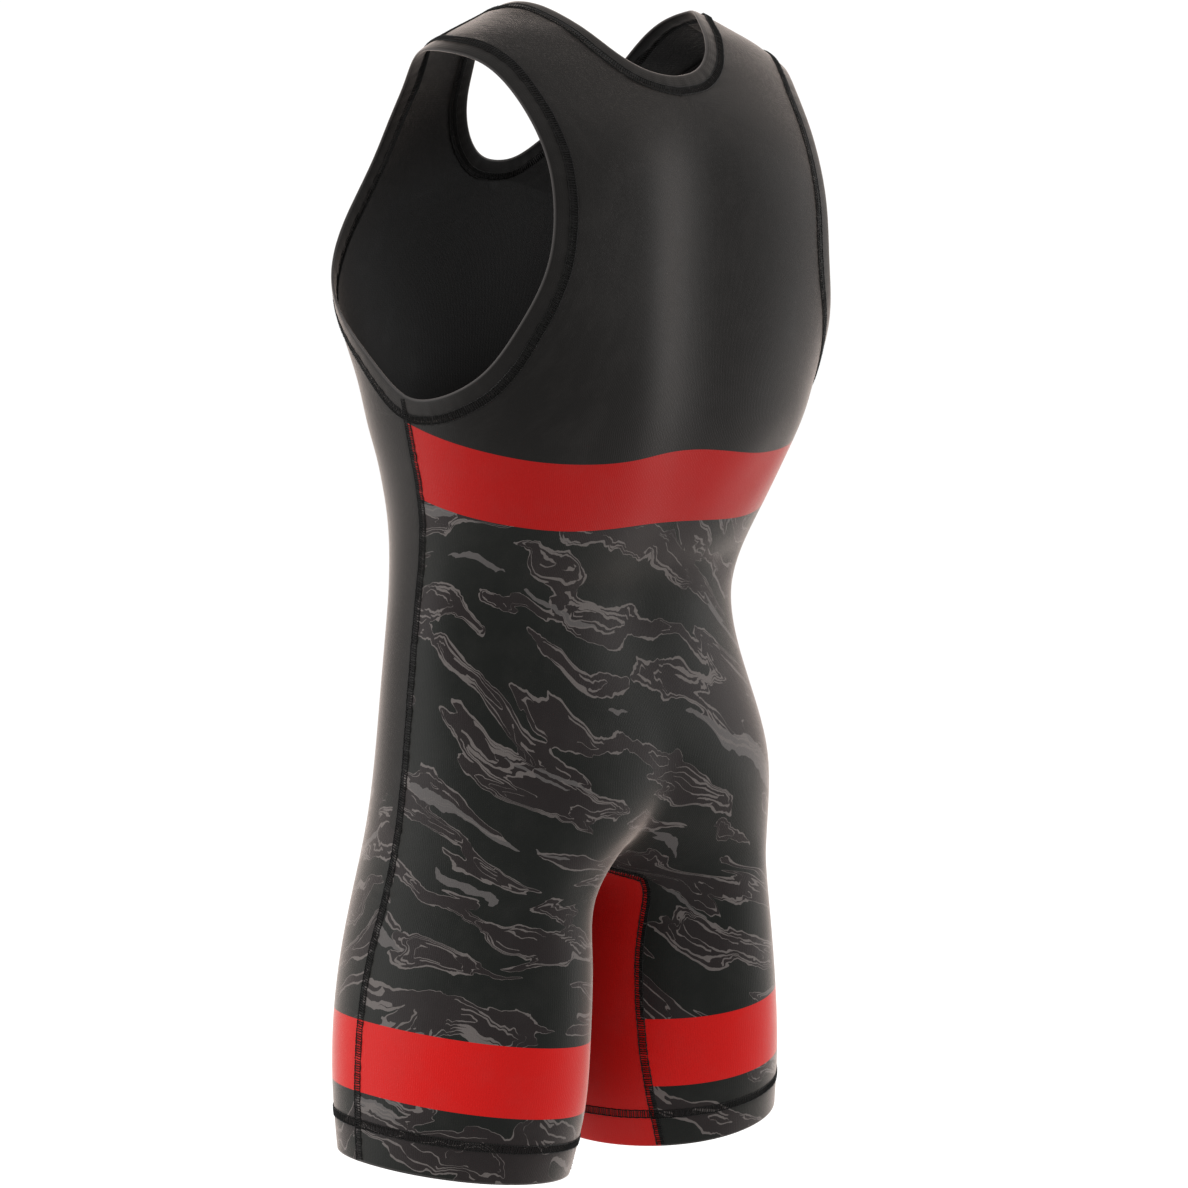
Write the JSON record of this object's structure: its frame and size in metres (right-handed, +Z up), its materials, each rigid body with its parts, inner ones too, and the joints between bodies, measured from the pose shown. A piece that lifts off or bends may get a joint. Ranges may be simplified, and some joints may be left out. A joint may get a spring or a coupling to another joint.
{
  "type": "wrestling singlet",
  "caption": "Sleeveless stretch-knit wrestling suit with wide armholes, scooped neck and mid-thigh legs, filled out as worn and hollow.",
  "frame": {"origin": "between the wearer's shoulders, at the height of the strap ridges", "axes": "+Z up, +X to the wearer's left, -Y to the front"},
  "size_m": [0.4022, 0.2753, 0.9044],
  "materials": {
    "front_knit": "matt black nylon and elastane knit, with printed stripes and a red band on the thighs",
    "back_knit": "matt black nylon and elastane knit, with a red band under the arms, printed stripes and a red band on the thighs",
    "red_knit": "matt red nylon and elastane knit",
    "binding_knit": "matt black knit strip, folded double"
  },
  "bodies": {
    "root": {"front_panel": "front_knit", "back_panel": "back_knit", "inner_leg_gusset": "red_knit", "neck_binding": "binding_knit", "armhole_binding_left": "binding_knit", "armhole_binding_right": "binding_knit"}
  },
  "joints": []
}
